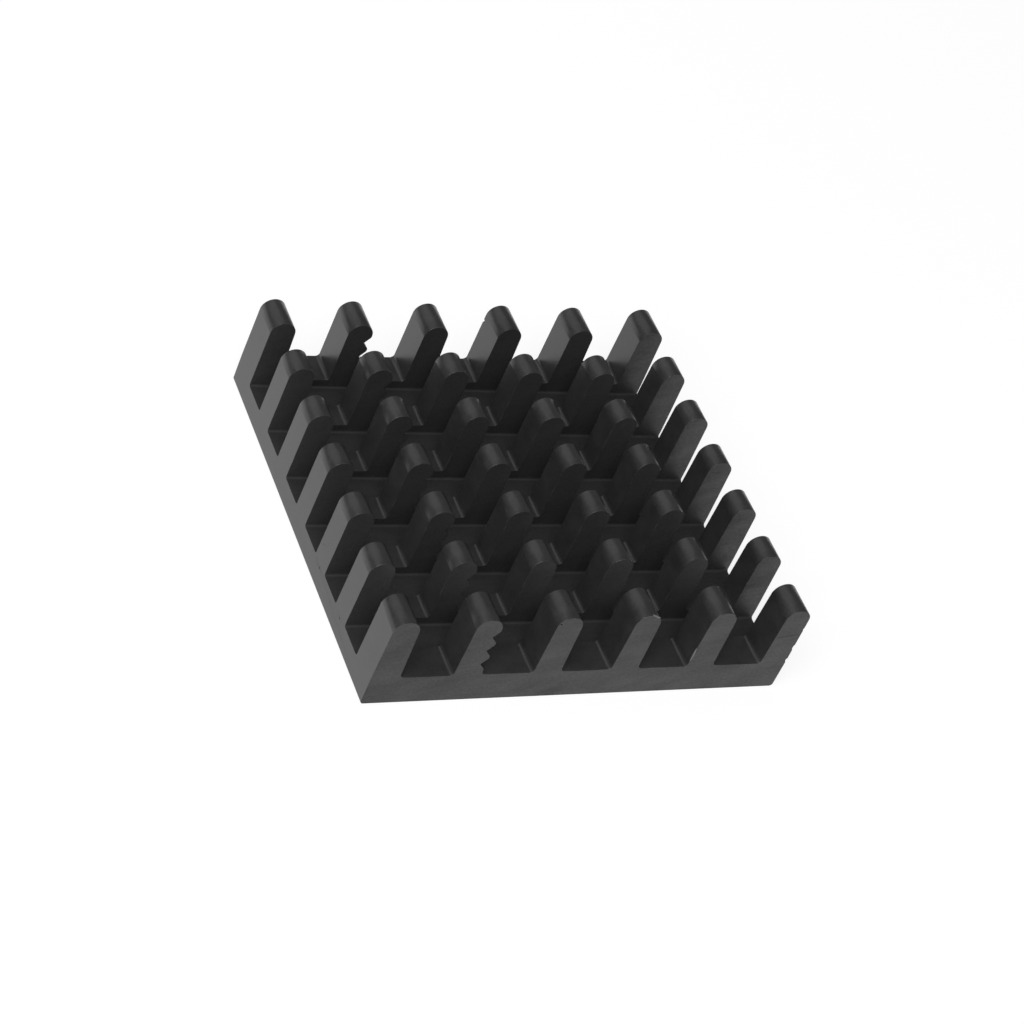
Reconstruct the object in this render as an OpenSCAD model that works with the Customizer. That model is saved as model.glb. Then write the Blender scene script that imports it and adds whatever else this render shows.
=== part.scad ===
// Cross-cut pin fin heat sink for a chip package.
// One aluminium extrusion: a flat base with round-tipped fins, sawn across into rows of pins.
// X runs across the fins, Y along them, Z up. The origin is the middle of the underside.

/* [Base] */
// Width of the extrusion, across the fins
base_w = 26; // [20:0.5:40]
// Length that the extrusion is cut to, along the fins
base_l = 25; // [20:0.5:40]
// Thickness of the base under the grooves between the fins
base_t = 2; // [1:0.1:3]
// Radius of the two long lower edges
base_edge_r = 0.45; // [0.1:0.05:0.8]

/* [Fins] */
// Overall height, from the underside to the tips of the fins
height = 6.35; // [5.5:0.05:12]
// Number of fins side by side
fin_count = 6; // [4:1:8]
// Thickness of a fin at its root
fin_root_t = 1.7; // [1.6:0.05:2.2]
// Thickness of a fin where its round tip begins
fin_tip_t = 1.55; // [1:0.05:1.6]
// Radius of the fillet along each side of a fin's root
root_r = 0.25; // [0.1:0.05:0.4]

/* [Serrated flank] */
// Fin whose right flank is serrated, counted from the left
serrated_fin = 2; // [1:1:4]
// Height of that fin's plain head, down to the point of the first notch
head_h = 1.35; // [1.35:0.05:2]
// Distance from one notch to the next
notch_pitch = 1.07; // [0.7:0.01:1.4]
// Depth of a notch below the tips of the teeth
notch_depth = 0.36; // [0.1:0.02:0.5]
// Radius of the tip of a tooth
tooth_r = 0.25; // [0.1:0.01:0.3]

/* [Cross cuts] */
// Number of saw cuts across the fins
cut_count = 6; // [2:1:8]
// Width of a saw cut
cut_w = 1.9; // [1:0.1:2.2]
// Depth of a saw cut below the grooves between the fins
cut_below_groove = 0.5; // [0.1:0.05:0.8]
// Radius that the saw's corners leave along the foot of a cut
cut_corner_r = 0.15; // [0.05:0.05:0.3]
// Length of the pins in the first and last rows
end_pin_l = 2.2; // [1:0.1:3]

/* [Hidden] */
anodised_black = "#3a3a3c";
$fn = 96;

// Cutting shapes run past the faces that they cut by this much
overshoot = 1;

// The outer flanks of the first and last fins are flush with the base at their roots
fin_pitch = (base_w - fin_root_t) / (fin_count - 1);

// A round tip ends the drafted flanks of each fin
tip_r = fin_tip_t / 2;
tip_z = height - tip_r;
draft = atan((fin_root_t - fin_tip_t) / 2 / (tip_z - base_t));

// The notches follow the flank from the fin's head to its root fillet, and leave round-tipped teeth.
// A short flat of the flank stays on the tip of each tooth.
tooth_flat = 0.1;
head_tooth_z = height - head_h + notch_pitch / 2;
notch_count = floor((head_tooth_z - base_t - root_r) / notch_pitch);

// The rows of pins between the end rows share the length that the cuts leave
inner_pin_l = (base_l - 2 * end_pin_l - cut_count * cut_w) / (cut_count - 1);
cut_pitch = inner_pin_l + cut_w;
cut_z = base_t - cut_below_groove;

// Half the thickness of a fin at height z
function fin_half_t(z) = fin_root_t / 2 - (z - base_t) * tan(draft);

module both_sides() {
    children();
    mirror([1, 0])
        children();
}

// What rounding takes off a square corner that lies at the origin
module corner_waste(r) {
    difference() {
        square(r);
        translate([r, r])
            circle(r);
    }
}

// Fillet between a groove's floor and the drafted flank on its left, with their corner at the origin
module root_fillet() {
    tangent_l = root_r / tan((90 + draft) / 2);
    difference() {
        polygon([
            [0, 0],
            [tangent_l, 0],
            [tangent_l, root_r],
            tangent_l * [-sin(draft), cos(draft)]
        ]);
        translate([tangent_l, root_r])
            circle(root_r);
    }
}

// What the notches take off a flank that runs along Y, down from the middle of the head's tooth at the origin
module notch_waste() {
    // A notch's wall runs from its point to where it touches the round tip of the tooth above
    tip_x = sqrt(pow(tooth_r, 2) - pow(tooth_flat / 2, 2));
    to_tip = [notch_depth - tip_x, notch_pitch / 2];
    wall_a = atan2(to_tip[1], to_tip[0]) - asin(tooth_r / norm(to_tip));
    wall_l = sqrt(to_tip * to_tip - pow(tooth_r, 2));
    touch_x = wall_l * cos(wall_a) - notch_depth;
    touch_y = notch_pitch / 2 - wall_l * sin(wall_a);
    foot_y = -notch_count * notch_pitch;
    difference() {
        polygon([
            [touch_x, 0],
            for (k = [0 : notch_count - 1])
                each [
                    [touch_x, -k * notch_pitch - touch_y],
                    [-notch_depth, -(k + 0.5) * notch_pitch],
                    [touch_x, -(k + 1) * notch_pitch + touch_y]
                ],
            [touch_x, foot_y],
            [overshoot, foot_y],
            [overshoot, 0]
        ]);
        for (k = [0 : notch_count])
            translate([-tip_x, -k * notch_pitch])
                circle(tooth_r);
    }
}

// Fin with drafted flanks and a round tip, drawn on its own middle line down through the base
module plain_fin() {
    polygon([
        [-fin_root_t / 2, 0],
        [fin_root_t / 2, 0],
        [fin_root_t / 2, base_t],
        [tip_r, tip_z],
        [-tip_r, tip_z],
        [-fin_root_t / 2, base_t]
    ]);
    translate([0, tip_z])
        circle(tip_r);
}

// Fin i, counted from 0 on the left, with a fillet towards each neighbour that it has
module fin(i) {
    difference() {
        union() {
            plain_fin();
            if (i < fin_count - 1)
                translate([fin_root_t / 2, base_t])
                    root_fillet();
            if (i > 0)
                mirror([1, 0])
                    translate([fin_root_t / 2, base_t])
                        root_fillet();
        }
        if (i == serrated_fin - 1)
            translate([fin_half_t(head_tooth_z), head_tooth_z])
                rotate(draft)
                    notch_waste();
    }
}

// Section that comes out of the extrusion die, drawn with Z as its second axis
module die_section() {
    difference() {
        union() {
            translate([-base_w / 2, 0])
                square([base_w, base_t]);
            for (i = [0 : fin_count - 1])
                translate([(i - (fin_count - 1) / 2) * fin_pitch, 0])
                    fin(i);
        }
        both_sides()
            translate([-base_w / 2, 0])
                corner_waste(base_edge_r);
    }
}

// Section of a saw cut, up from the middle of its foot
module cut_section() {
    difference() {
        translate([-cut_w / 2, 0])
            square([cut_w, height + overshoot - cut_z]);
        both_sides()
            translate([-cut_w / 2, 0])
                corner_waste(cut_corner_r);
    }
}

module extrusion() {
    translate([0, base_l / 2, 0])
        rotate([90, 0, 0])
            linear_extrude(base_l)
                die_section();
}

module saw_cuts() {
    run = base_w + 2 * overshoot;
    for (k = [0 : cut_count - 1])
        translate([-run / 2, (k - (cut_count - 1) / 2) * cut_pitch, cut_z])
            rotate([90, 0, 90])
                linear_extrude(run)
                    cut_section();
}

module heat_sink() {
    color(anodised_black)
        difference() {
            extrusion();
            saw_cuts();
        }
}

heat_sink();
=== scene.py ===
"""Black anodised heat sink: an aluminium extrusion with round-tipped fins, sawn across into pins."""
import math

import bpy
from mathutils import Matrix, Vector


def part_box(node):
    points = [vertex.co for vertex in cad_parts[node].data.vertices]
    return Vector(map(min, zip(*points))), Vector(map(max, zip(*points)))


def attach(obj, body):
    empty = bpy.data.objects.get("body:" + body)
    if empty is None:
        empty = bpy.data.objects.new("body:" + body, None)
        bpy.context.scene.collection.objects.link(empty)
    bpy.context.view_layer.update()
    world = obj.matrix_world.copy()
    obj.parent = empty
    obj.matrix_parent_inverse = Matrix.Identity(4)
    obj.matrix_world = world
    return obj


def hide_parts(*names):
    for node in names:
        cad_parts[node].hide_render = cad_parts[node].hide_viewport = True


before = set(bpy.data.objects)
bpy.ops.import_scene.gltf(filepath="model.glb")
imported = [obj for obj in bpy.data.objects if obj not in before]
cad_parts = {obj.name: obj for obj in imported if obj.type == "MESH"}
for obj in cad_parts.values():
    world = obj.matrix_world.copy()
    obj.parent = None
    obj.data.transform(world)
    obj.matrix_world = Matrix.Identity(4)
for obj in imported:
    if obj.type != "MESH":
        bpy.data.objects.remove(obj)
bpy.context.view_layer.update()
scene = bpy.context.scene

# Heat sink
# The real piece is one aluminium bar, pushed through a die that gives it its base and its fins.
# A gang of saw blades then crosses the fins and leaves the pins, and the whole is black anodised.
# It has no fasteners: its flat underside is stuck or clipped to a chip.
MM = 0.001
low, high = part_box("heat_sink")
bar_w = high.x - low.x
bar_l = high.y - low.y
bar_h = 6.35 * MM
base_t = 2.0 * MM
lower_edge_r = 0.2 * MM
fin_count = 6
fin_root_t = 1.7 * MM
fin_tip_t = 1.55 * MM
root_fillet_r = 0.25 * MM
serrated_fin = 1
serrated_head_h = 1.35 * MM
notch_pitch = 1.07 * MM
notch_depth = 0.36 * MM
tooth_r = 0.25 * MM
tooth_flat = 0.1 * MM
# The cuts are 0.2 mm wider than in the solids and drop towards the right, the end pins are 0.1 mm shorter
# and the lower edges sharper, as the photo measured so after the last change to the solids
cut_count = 6
cut_w = 2.1 * MM
cut_below_groove = 0.5 * MM
cut_drop = 0.33 * MM
cut_corner_r = 0.15 * MM
end_pin_l = 2.1 * MM
broken_edge = 0.012 * MM

tip_r = fin_tip_t / 2
tip_z = bar_h - tip_r
draft = math.atan((fin_root_t - fin_tip_t) / 2 / (tip_z - base_t))
fin_pitch = (bar_w - fin_root_t) / (fin_count - 1)
inner_pin_l = (bar_l - 2 * end_pin_l - cut_count * cut_w) / (cut_count - 1)


# The die's outline is drawn once, as one closed line in X and Z
def arc(centre_x, centre_z, radius, start, end, steps):
    """Points along an arc, from one angle to another, in degrees from +X towards +Z."""
    points = []
    for k in range(steps + 1):
        angle = math.radians(start + (end - start) * k / steps)
        points.append((centre_x + radius * math.cos(angle), centre_z + radius * math.sin(angle)))
    return points


def fin_half_t(z):
    """Half the thickness of a fin at height z."""
    return fin_root_t / 2 - (z - base_t) * math.tan(draft)


def serrated_flank(fin_x):
    """The toothed flank of one fin, from its head down: pointed notches between round-tipped teeth."""
    tip_x = math.sqrt(tooth_r ** 2 - (tooth_flat / 2) ** 2)
    to_tip = (notch_depth - tip_x, notch_pitch / 2)
    wall = math.degrees(math.atan2(to_tip[1], to_tip[0]) - math.asin(tooth_r / math.hypot(*to_tip)))
    flat = math.degrees(math.asin(tooth_flat / 2 / tooth_r))
    head_z = bar_h - serrated_head_h + notch_pitch / 2
    notch_count = int((head_z - base_t - root_fillet_r) / notch_pitch)
    flank = []
    for k in range(notch_count):
        tooth_z = -k * notch_pitch
        flank += arc(-tip_x, tooth_z, tooth_r, -flat, wall - 90, 5)
        flank.append((-notch_depth, tooth_z - notch_pitch / 2))
        flank += arc(-tip_x, tooth_z - notch_pitch, tooth_r, 90 - wall, flat, 5)
    flank_x = fin_x + fin_half_t(head_z)
    turn_x, turn_z = math.cos(draft), math.sin(draft)
    return [(flank_x + x * turn_x - z * turn_z, head_z + x * turn_z + z * turn_x) for x, z in flank]


def root_fillet(fin_x, side):
    """The fillet at one side of a fin's root, in the outline's own direction from left to right."""
    lean = math.degrees(draft)
    centre_x = fin_root_t / 2 + root_fillet_r / math.tan(math.radians(90 + lean) / 2)
    points = arc(centre_x, base_t + root_fillet_r, root_fillet_r, 180 + lean, 270, 6)
    if side < 0:
        points.reverse()
    return [(fin_x + side * x, z) for x, z in points]


def die_outline():
    """The closed outline, over the fins from left to right and back along the underside."""
    points = []
    for i in range(fin_count):
        fin_x = low.x + fin_root_t / 2 + i * fin_pitch
        points += root_fillet(fin_x, -1) if i > 0 else [(low.x, base_t)]
        points += arc(fin_x, tip_z, tip_r, 180, 0, 20)
        if i == serrated_fin:
            points += serrated_flank(fin_x)
        points += root_fillet(fin_x, 1) if i < fin_count - 1 else [(high.x, base_t)]
    points += arc(high.x - lower_edge_r, lower_edge_r, lower_edge_r, 0, -90, 8)
    points += arc(low.x + lower_edge_r, lower_edge_r, lower_edge_r, 270, 180, 8)
    return points


outline = die_outline()
outline_mesh = bpy.data.meshes.new("die_outline")
outline_edges = [(k, (k + 1) % len(outline)) for k in range(len(outline))]
outline_mesh.from_pydata([(x, z, 0) for x, z in outline], outline_edges, [])
heat_sink = bpy.data.objects.new("heat_sink_finished", outline_mesh)
scene.collection.objects.link(heat_sink)

# Finish: a thin dyed oxide, smoother where the die drew the metal than where the saws cut it
anodised = bpy.data.materials.new("black_anodised")
anodised.use_nodes = True
finish = anodised.node_tree
shader = finish.nodes["Principled BSDF"]
shader.inputs["IOR"].default_value = 1.54
place = finish.nodes.new("ShaderNodeTexCoord").outputs["Object"]
sawn_face = finish.nodes.new("ShaderNodeAttribute")
sawn_face.attribute_name = "sawn"
rubbed_edge = finish.nodes.new("ShaderNodeAttribute")
rubbed_edge.attribute_name = "edge"


def marks(scale, detail, stretch=(1, 1, 1), turn=0.0):
    """Noise over the metal: scale in marks to the metre, drawn out and turned in the plane of the saws."""
    turned = finish.nodes.new("ShaderNodeMapping")
    turned.vector_type = "TEXTURE"
    turned.inputs["Rotation"].default_value = (0, math.radians(turn), 0)
    turned.inputs["Scale"].default_value = stretch
    finish.links.new(place, turned.inputs["Vector"])
    noise = finish.nodes.new("ShaderNodeTexNoise")
    noise.inputs["Scale"].default_value = scale
    noise.inputs["Detail"].default_value = detail
    finish.links.new(turned.outputs[0], noise.inputs["Vector"])
    return noise.outputs["Fac"]


def spread(value, from_low, from_high, to_low, to_high):
    """A value carried from one range to another."""
    ranged = finish.nodes.new("ShaderNodeMapRange")
    for name, number in (("From Min", from_low), ("From Max", from_high),
                         ("To Min", to_low), ("To Max", to_high)):
        ranged.inputs[name].default_value = number
    finish.links.new(value, ranged.inputs["Value"])
    return ranged.outputs["Result"]


def joined(operation, a, b):
    """Two values of the finish added, multiplied and so on."""
    made = finish.nodes.new("ShaderNodeMath")
    made.operation = operation
    for socket, value in zip(made.inputs, (a, b)):
        if isinstance(value, (int, float)):
            socket.default_value = value
        else:
            finish.links.new(value, socket)
    return made.outputs[0]


def chosen(factor, a, b):
    """One value where the factor is 0, the other where it is 1."""
    mix = finish.nodes.new("ShaderNodeMix")
    finish.links.new(factor, mix.inputs["Factor"])
    for name, value in (("A", a), ("B", b)):
        if isinstance(value, (int, float)):
            mix.inputs[name].default_value = value
        else:
            finish.links.new(value, mix.inputs[name])
    return mix.outputs["Result"]


grain = marks(6000, 3)
smudges = marks(900, 3, stretch=(2.5, 1, 1), turn=-25)
die_lines = marks(8000, 2, stretch=(1, 40, 1))
saw_lines = marks(7000, 2, stretch=(16, 1, 1), turn=-10)
lines = chosen(sawn_face.outputs["Fac"], die_lines, saw_lines)

# The dye takes a little unevenly, and is thin where edges are rubbed
tone_low, tone_high = 0.35, 0.65
tone = joined("ADD", joined("MULTIPLY", grain, 0.4),
              joined("ADD", joined("MULTIPLY", smudges, 0.45), joined("MULTIPLY", lines, 0.15)))
dye = finish.nodes.new("ShaderNodeMix")
dye.data_type = "RGBA"
dye.inputs["A"].default_value = (0.022, 0.022, 0.023, 1)
dye.inputs["B"].default_value = (0.038, 0.038, 0.0395, 1)
finish.links.new(spread(tone, tone_low, tone_high, 0, 1), dye.inputs["Factor"])
rubbed = finish.nodes.new("ShaderNodeMix")
rubbed.data_type = "RGBA"
rubbed.inputs["B"].default_value = (0.15, 0.15, 0.153, 1)
bare_burr = joined("MAXIMUM", joined("SUBTRACT", rubbed_edge.outputs["Fac"], 1.0), 0.0)
rubbed_places = spread(marks(1100, 2), 0.52, 0.7, 0, 0.5)
rub = joined("ADD", bare_burr, joined("MULTIPLY", rubbed_edge.outputs["Fac"], rubbed_places))
finish.links.new(dye.outputs["Result"], rubbed.inputs["A"])
finish.links.new(rub, rubbed.inputs["Factor"])
finish.links.new(rubbed.outputs["Result"], shader.inputs["Base Color"])
drawn_roughness = spread(tone, tone_low, tone_high, 0.30, 0.35)
sawn_roughness = spread(tone, tone_low, tone_high, 0.62, 0.44)
roughness = chosen(sawn_face.outputs["Fac"], drawn_roughness, sawn_roughness)
finish.links.new(roughness, shader.inputs["Roughness"])
relief = finish.nodes.new("ShaderNodeBump")
relief.inputs["Strength"].default_value = 0.5
relief.inputs["Distance"].default_value = 0.004 * MM
depth = chosen(sawn_face.outputs["Fac"], 0.06, 1.0)
finish.links.new(joined("MULTIPLY", joined("ADD", grain, lines), depth), relief.inputs["Height"])
finish.links.new(relief.outputs[0], shader.inputs["Normal"])

# The tree sweeps the outline along the bar, lines up the blades and takes them away from the bar
tree = bpy.data.node_groups.new("sawn_extrusion", "GeometryNodeTree")
tree.is_modifier = True
tree.interface.new_socket("Geometry", in_out="INPUT", socket_type="NodeSocketGeometry")
tree.interface.new_socket("Geometry", in_out="OUTPUT", socket_type="NodeSocketGeometry")
settings = {}
for name, kind in (("Length", "Float"), ("Cut Count", "Int"), ("Cut Width", "Float"), ("Cut Pitch", "Float"),
                   ("Cut Floor", "Float"), ("Cut Drop", "Float"), ("Cut Corner Radius", "Float"),
                   ("Blade Height", "Float"), ("Cut Run", "Float"), ("Finish", "Material")):
    settings[name] = tree.interface.new_socket(name, in_out="INPUT", socket_type="NodeSocket" + kind).identifier
given = tree.nodes.new("NodeGroupInput")
result = tree.nodes.new("NodeGroupOutput")


def node(kind, **choices):
    """A node of the tree in hand."""
    made = tree.nodes.new(kind if kind.startswith("Shader") else "GeometryNode" + kind)
    for key, value in choices.items():
        setattr(made, key, value)
    return made


def feed(socket, value):
    """Sets a socket to a number, or links it to another node's output."""
    if isinstance(value, (int, float)):
        socket.default_value = value
    else:
        tree.links.new(value, socket)


def maths(operation, a, b):
    """A number worked out from two others."""
    made = node("ShaderNodeMath", operation=operation)
    feed(made.inputs[0], a)
    feed(made.inputs[1], b)
    return made.outputs[0]


def vector(x=0.0, y=0.0, z=0.0):
    """A vector put together from its parts."""
    made = node("ShaderNodeCombineXYZ")
    for socket, value in zip(made.inputs, (x, y, z)):
        feed(socket, value)
    return made.outputs[0]


section = node("MeshToCurve")
feed(section.inputs["Mesh"], given.outputs["Geometry"])
bar_line = node("CurvePrimitiveLine")
feed(bar_line.inputs["Start"], vector(y=maths("MULTIPLY", given.outputs["Length"], 0.5)))
feed(bar_line.inputs["End"], vector(y=maths("MULTIPLY", given.outputs["Length"], -0.5)))
upright = node("SetCurveTilt")
feed(upright.inputs["Curve"], bar_line.outputs[0])
feed(upright.inputs["Tilt"], math.pi)
bar = node("CurveToMesh")
bar.inputs["Fill Caps"].default_value = True
feed(bar.inputs["Curve"], upright.outputs[0])
feed(bar.inputs["Profile Curve"], section.outputs[0])
faces = node("InputNormal")
facing = node("ShaderNodeSeparateXYZ")
feed(facing.inputs[0], faces.outputs[0])
sawn_ends = node("StoreNamedAttribute", data_type="FLOAT", domain="FACE")
sawn_ends.inputs["Name"].default_value = "sawn"
feed(sawn_ends.inputs["Geometry"], bar.outputs[0])
feed(sawn_ends.inputs["Value"], maths("GREATER_THAN", maths("ABSOLUTE", facing.outputs["Y"], 0.0), 0.5))

blade_section = node("CurvePrimitiveQuadrilateral")
feed(blade_section.inputs["Width"], given.outputs["Cut Width"])
feed(blade_section.inputs["Height"], given.outputs["Blade Height"])
blade_corners = node("FilletCurve", mode="POLY")
blade_corners.inputs["Count"].default_value = 6
feed(blade_corners.inputs["Curve"], blade_section.outputs[0])
feed(blade_corners.inputs["Radius"], given.outputs["Cut Corner Radius"])
blade_line = node("CurvePrimitiveLine")
feed(blade_line.inputs["Start"], vector(x=maths("MULTIPLY", given.outputs["Cut Run"], -0.5)))
feed(blade_line.inputs["End"], vector(x=maths("MULTIPLY", given.outputs["Cut Run"], 0.5)))
blade = node("CurveToMesh")
blade.inputs["Fill Caps"].default_value = True
feed(blade.inputs["Curve"], blade_line.outputs[0])
feed(blade.inputs["Profile Curve"], blade_corners.outputs[0])

sawn_by_blade = node("StoreNamedAttribute", data_type="FLOAT", domain="FACE")
sawn_by_blade.inputs["Name"].default_value = "sawn"
sawn_by_blade.inputs["Value"].default_value = 1.0
feed(sawn_by_blade.inputs["Geometry"], blade.outputs[0])

blade_row = node("MeshLine")
first_blade = maths("MULTIPLY", maths("SUBTRACT", given.outputs["Cut Count"], 1), -0.5)
blade_z = maths("ADD", given.outputs["Cut Floor"], maths("MULTIPLY", given.outputs["Blade Height"], 0.5))
feed(blade_row.inputs["Count"], given.outputs["Cut Count"])
feed(blade_row.inputs["Start Location"],
     vector(y=maths("MULTIPLY", first_blade, given.outputs["Cut Pitch"]), z=blade_z))
feed(blade_row.inputs["Offset"], vector(y=given.outputs["Cut Pitch"]))
blades = node("InstanceOnPoints")
feed(blades.inputs["Points"], blade_row.outputs[0])
feed(blades.inputs["Instance"], sawn_by_blade.outputs[0])
gang = node("RealizeInstances")
feed(gang.inputs[0], blades.outputs[0])
sawn = node("MeshBoolean", operation="DIFFERENCE", solver="MANIFOLD")
feed(sawn.inputs["Mesh 1"], sawn_ends.outputs[0])
feed(sawn.inputs["Mesh 2"], gang.outputs[0])

# The blades ran a little deeper at the right, so the feet of the cuts sink that way
at = node("ShaderNodeSeparateXYZ")
feed(at.inputs[0], node("InputPosition").outputs[0])
foot_top = maths("ADD", given.outputs["Cut Floor"], maths("MULTIPLY", given.outputs["Cut Corner Radius"], 1.1))
foot_low = maths("MULTIPLY", given.outputs["Cut Floor"], 0.9)
at_foot = maths("MULTIPLY", maths("LESS_THAN", at.outputs["Z"], foot_top),
                maths("GREATER_THAN", at.outputs["Z"], foot_low))
share = maths("ADD", maths("DIVIDE", maths("MULTIPLY", at.outputs["X"], 2.0), given.outputs["Cut Run"]), 0.5)
sinking = maths("MULTIPLY", at_foot, maths("MULTIPLY", share, given.outputs["Cut Drop"]))
sunk = node("SetPosition")
feed(sunk.inputs["Geometry"], sawn.outputs[0])
feed(sunk.inputs["Offset"], vector(z=maths("MULTIPLY", sinking, -1.0)))
whole = node("RealizeInstances")
feed(whole.inputs[0], sunk.outputs[0])
dyed = node("SetMaterial")
feed(dyed.inputs["Geometry"], whole.outputs[0])
feed(dyed.inputs["Material"], given.outputs["Finish"])
feed(result.inputs[0], dyed.outputs[0])

sawing = heat_sink.modifiers.new("sawn_extrusion", "NODES")
sawing.node_group = tree
for name, value in (("Length", bar_l), ("Cut Count", cut_count), ("Cut Width", cut_w),
                    ("Cut Pitch", inner_pin_l + cut_w), ("Cut Floor", base_t - cut_below_groove),
                    ("Cut Drop", cut_drop), ("Cut Corner Radius", cut_corner_r), ("Blade Height", 2 * bar_h),
                    ("Cut Run", 2 * bar_w), ("Finish", anodised)):
    sawing[settings[name]] = value

# Every sharp edge is broken a little, as tumbling leaves it.
# The new faces take the first slot, the same one as every other face.
outline_mesh.materials.append(anodised)
edges = heat_sink.modifiers.new("broken_edges", "BEVEL")
edges.width = broken_edge
edges.segments = 2
edges.limit_method = "ANGLE"
edges.angle_limit = math.radians(35)
edges.use_clamp_overlap = False
edges.material = 0

# Marks that sawing and handling left, each an ellipsoid given by its middle, its half lengths and its turns.
# Nicks along the last fin's corner, a scratch across its end, dents in the rims, and pits and a scratch
# in the left side are taken out. The burrs that the end saw left on two rims stay standing.
nicks = (((13.05, -12.52, 4.88), (0.13, 0.20, 0.22), (0, 18, 20)),
         ((13.09, -12.55, 3.40), (0.18, 0.30, 0.36), (12, 14, -20)),
         ((13.11, -12.52, 2.25), (0.18, 0.19, 0.25), (0, 24, 12)),
         ((12.07, -12.5, 4.27), (0.74, 0.03, 0.03), (0, -10, 0)),
         ((-3.03, -12.5, 5.86), (0.08, 0.12, 0.06), (0, 30, 0)),
         ((2.74, -12.28, 6.31), (0.30, 0.06, 0.06), (0, 24, 0)),
         ((1.60, 12.5, 5.12), (0.14, 0.20, 0.12), (0, 0, 0)),
         ((-13.0, -3.84, 1.30), (0.03, 0.09, 0.07), (0, 0, 0)),
         ((-13.0, -7.57, 1.34), (0.03, 0.08, 0.08), (0, 0, 0)),
         ((-12.98, -3.70, 2.91), (0.012, 0.84, 0.025), (-37, 0, 0)))
burrs = (((2.72, -12.48, 6.28), (0.34, 0.07, 0.05), (0, 24, 0)),
         ((6.45, -12.5, 3.00), (0.04, 0.06, 0.55), (0, -1, 0)))
tree = bpy.data.node_groups.new("marks_of_use", "GeometryNodeTree")
tree.is_modifier = True
tree.interface.new_socket("Geometry", in_out="INPUT", socket_type="NodeSocketGeometry")
tree.interface.new_socket("Geometry", in_out="OUTPUT", socket_type="NodeSocketGeometry")
settings = {}
for name, kind in (("Exposed Above", "Float"), ("Exposed Beyond", "Float"), ("Mark Size", "Float"),
                   ("Finish", "Material")):
    settings[name] = tree.interface.new_socket(name, in_out="INPUT", socket_type="NodeSocket" + kind).identifier
given = tree.nodes.new("NodeGroupInput")
result = tree.nodes.new("NodeGroupOutput")
# Only faces that stand free are marked for rubbing, flats as well as edges: those above the base and those at
# the two ends
edge_faces = node("StoreNamedAttribute", data_type="FLOAT", domain="FACE")
edge_faces.inputs["Name"].default_value = "edge"
feed(edge_faces.inputs["Geometry"], given.outputs["Geometry"])
at = node("ShaderNodeSeparateXYZ")
feed(at.inputs[0], node("InputPosition").outputs[0])
exposed = maths("MAXIMUM", maths("GREATER_THAN", at.outputs["Z"], given.outputs["Exposed Above"]),
                maths("GREATER_THAN", maths("ABSOLUTE", at.outputs["Y"], 0.0), given.outputs["Exposed Beyond"]))
broken = maths("LESS_THAN", node("InputMaterialIndex").outputs[0], 0.5)
feed(edge_faces.inputs["Value"], maths("MULTIPLY", broken, exposed))
pebble = node("MeshIcoSphere")
pebble.inputs["Subdivisions"].default_value = 3
feed(pebble.inputs["Radius"], given.outputs["Mark Size"])
worn = edge_faces.outputs[0]
for operation, group, bareness in (("DIFFERENCE", nicks, 0.0), ("UNION", burrs, 2.0)):
    together = node("JoinGeometry")
    for middle, half_lengths, turns in group:
        mark = node("Transform")
        mark.inputs["Translation"].default_value = [c * MM for c in middle]
        mark.inputs["Rotation"].default_value = [math.radians(t) for t in turns]
        mark.inputs["Scale"].default_value = half_lengths
        feed(mark.inputs["Geometry"], pebble.outputs[0])
        feed(together.inputs[0], mark.outputs[0])
    bare = node("StoreNamedAttribute", data_type="FLOAT", domain="FACE")
    bare.inputs["Name"].default_value = "edge"
    bare.inputs["Value"].default_value = bareness
    feed(bare.inputs["Geometry"], together.outputs[0])
    marked = node("MeshBoolean", operation=operation, solver="MANIFOLD")
    feed(marked.inputs["Mesh 1"] if operation == "DIFFERENCE" else marked.inputs["Mesh 2"], worn)
    feed(marked.inputs["Mesh 2"], bare.outputs[0])
    worn = marked.outputs[0]
whole = node("RealizeInstances")
feed(whole.inputs[0], worn)
dyed = node("SetMaterial")
feed(dyed.inputs["Geometry"], whole.outputs[0])
feed(dyed.inputs["Material"], given.outputs["Finish"])
feed(result.inputs[0], dyed.outputs[0])
wear = heat_sink.modifiers.new("marks_of_use", "NODES")
wear.node_group = tree
for name, value in (("Exposed Above", base_t + broken_edge), ("Exposed Beyond", bar_l / 2 - 2 * broken_edge),
                    ("Mark Size", MM), ("Finish", anodised)):
    wear[settings[name]] = value

# Flat faces stay flat in the light, and the rounds smooth
even_shine = heat_sink.modifiers.new("even_shine", "WEIGHTED_NORMAL")
even_shine.mode = "FACE_AREA"
even_shine.weight = 100

bpy.context.view_layer.update()
finished_bar = heat_sink.evaluated_get(bpy.context.evaluated_depsgraph_get())
heat_sink_mesh = bpy.data.meshes.new_from_object(finished_bar)
heat_sink.modifiers.clear()
heat_sink.data = heat_sink_mesh
heat_sink_mesh.materials.clear()
heat_sink_mesh.materials.append(anodised)
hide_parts("heat_sink")
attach(heat_sink, "root")

# Floor
# A plain matt white sheet under the piece. It shows white to the camera and evenly white in the metal.
# To the camera a part of its light is the lamps' own, so that the piece keeps a soft shadow on it.
floor_size = 3.0
floor_white = 0.9
floor_glow = 0.83
floor_lit = 0.25
floor_mirrored = 1.0
floor_gap = 0.02 * MM
floor_mesh = bpy.data.meshes.new("white_floor")
half = floor_size / 2
floor_corners = [(-half, -half, 0), (half, -half, 0), (half, half, 0), (-half, half, 0)]
floor_mesh.from_pydata(floor_corners, [], [(0, 1, 2, 3)])
floor = bpy.data.objects.new("white_floor", floor_mesh)
floor.location.z = -floor_gap
scene.collection.objects.link(floor)
floor_paint = bpy.data.materials.new("matt_white")
floor_paint.use_nodes = True
sheet = floor_paint.node_tree
sheet.nodes.clear()
plain_sheet = sheet.nodes.new("ShaderNodeBsdfDiffuse")
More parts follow.
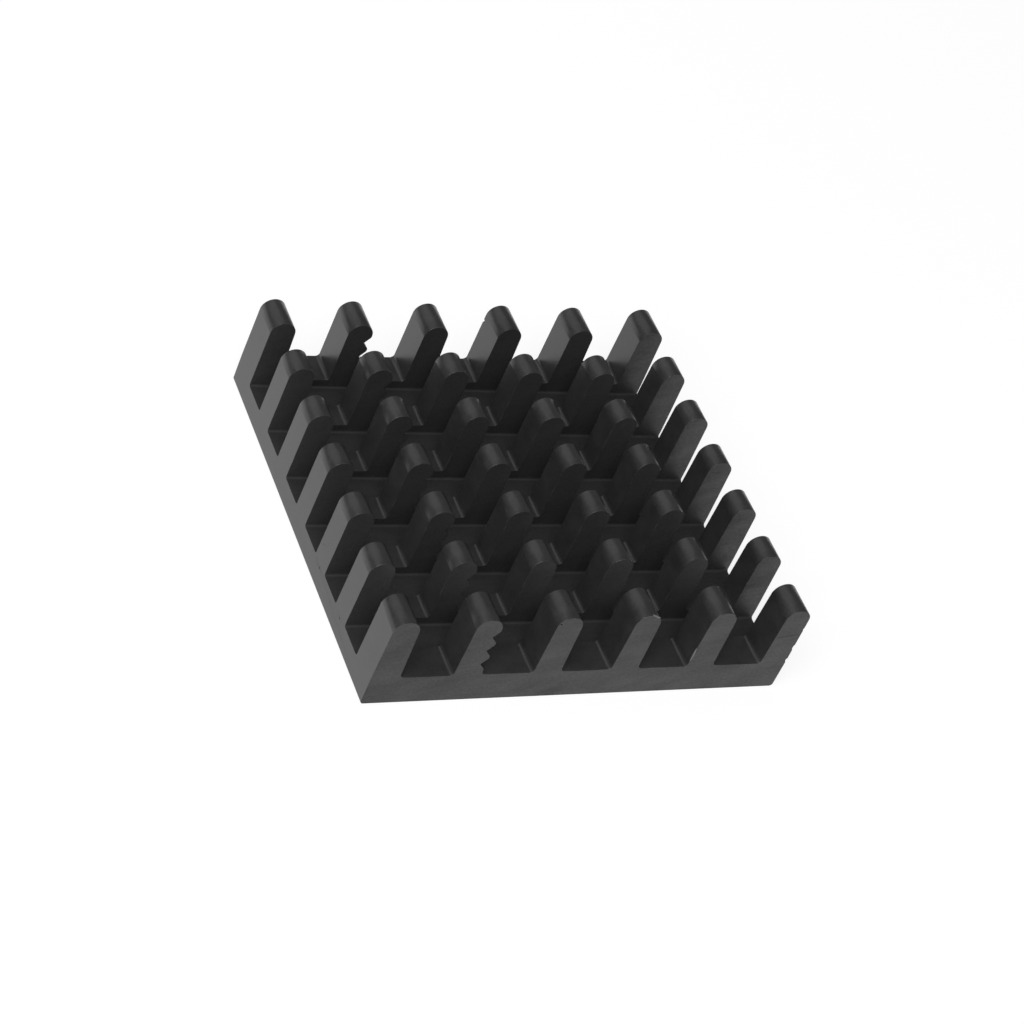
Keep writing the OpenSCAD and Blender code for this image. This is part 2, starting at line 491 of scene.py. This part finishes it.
plain_sheet.inputs["Color"].default_value = (floor_white, floor_white, floor_white, 1)
shown_sheet = sheet.nodes.new("ShaderNodeBsdfDiffuse")
shown_sheet.inputs["Color"].default_value = (floor_lit, floor_lit, floor_lit, 1)
glow = sheet.nodes.new("ShaderNodeEmission")
glow.inputs["Strength"].default_value = floor_glow
glowing_sheet = sheet.nodes.new("ShaderNodeAddShader")
sheet.links.new(shown_sheet.outputs[0], glowing_sheet.inputs[0])
sheet.links.new(glow.outputs[0], glowing_sheet.inputs[1])
mirrored_sheet = sheet.nodes.new("ShaderNodeEmission")
mirrored_sheet.inputs["Strength"].default_value = floor_mirrored
ray = sheet.nodes.new("ShaderNodeLightPath")
shown = plain_sheet
for kind, white in (("Is Camera Ray", glowing_sheet), ("Is Glossy Ray", mirrored_sheet),
                    ("Is Transmission Ray", mirrored_sheet)):
    choice = sheet.nodes.new("ShaderNodeMixShader")
    sheet.links.new(ray.outputs[kind], choice.inputs[0])
    sheet.links.new(shown.outputs[0], choice.inputs[1])
    sheet.links.new(white.outputs[0], choice.inputs[2])
    shown = choice
sheet.links.new(shown.outputs[0], sheet.nodes.new("ShaderNodeOutputMaterial").inputs["Surface"])
floor_mesh.materials.append(floor_paint)

# Light
# A dim room, a large soft box at the front left and a weaker one at the back left.
room_light = 0.15
box_distance = 0.5
room = bpy.data.worlds.new("dim_room")
room.use_nodes = True
room.node_tree.nodes["Background"].inputs["Color"].default_value = (1, 1, 1, 1)
room.node_tree.nodes["Background"].inputs["Strength"].default_value = room_light
scene.world = room
for name, turn, rise, wide, tall, watts in (("front_left_box", 222, 45, 0.40, 0.40, 2.2),
                                            ("back_left_box", 110, 44, 0.50, 0.45, 0.37)):
    box = bpy.data.lights.new(name, "AREA")
    box.shape = "RECTANGLE"
    box.size, box.size_y = wide, tall
    box.energy = watts
    lamp = bpy.data.objects.new(name, box)
    turn, rise = math.radians(turn), math.radians(rise)
    towards = (math.cos(rise) * math.cos(turn), math.cos(rise) * math.sin(turn), math.sin(rise))
    lamp.location = [box_distance * c for c in towards]
    lamp.rotation_euler = (math.pi / 2 - rise, 0, turn + math.pi / 2)
    scene.collection.objects.link(lamp)
scene.view_settings.view_transform = "Standard"

# Camera
# A long lens from the front left, above, with the picture turned a little.
lens = bpy.data.cameras.new("photo_camera")
lens.lens = 99.729
lens.sensor_width = 36
lens.clip_start = 0.01
camera = bpy.data.objects.new("photo_camera", lens)
camera.location = (-76.079 * MM, -100.173 * MM, 105.909 * MM)
camera.rotation_euler = [math.radians(a) for a in (47.483, -19.262, -20.472)]
scene.collection.objects.link(camera)
scene.camera = camera

bpy.context.view_layer.update()
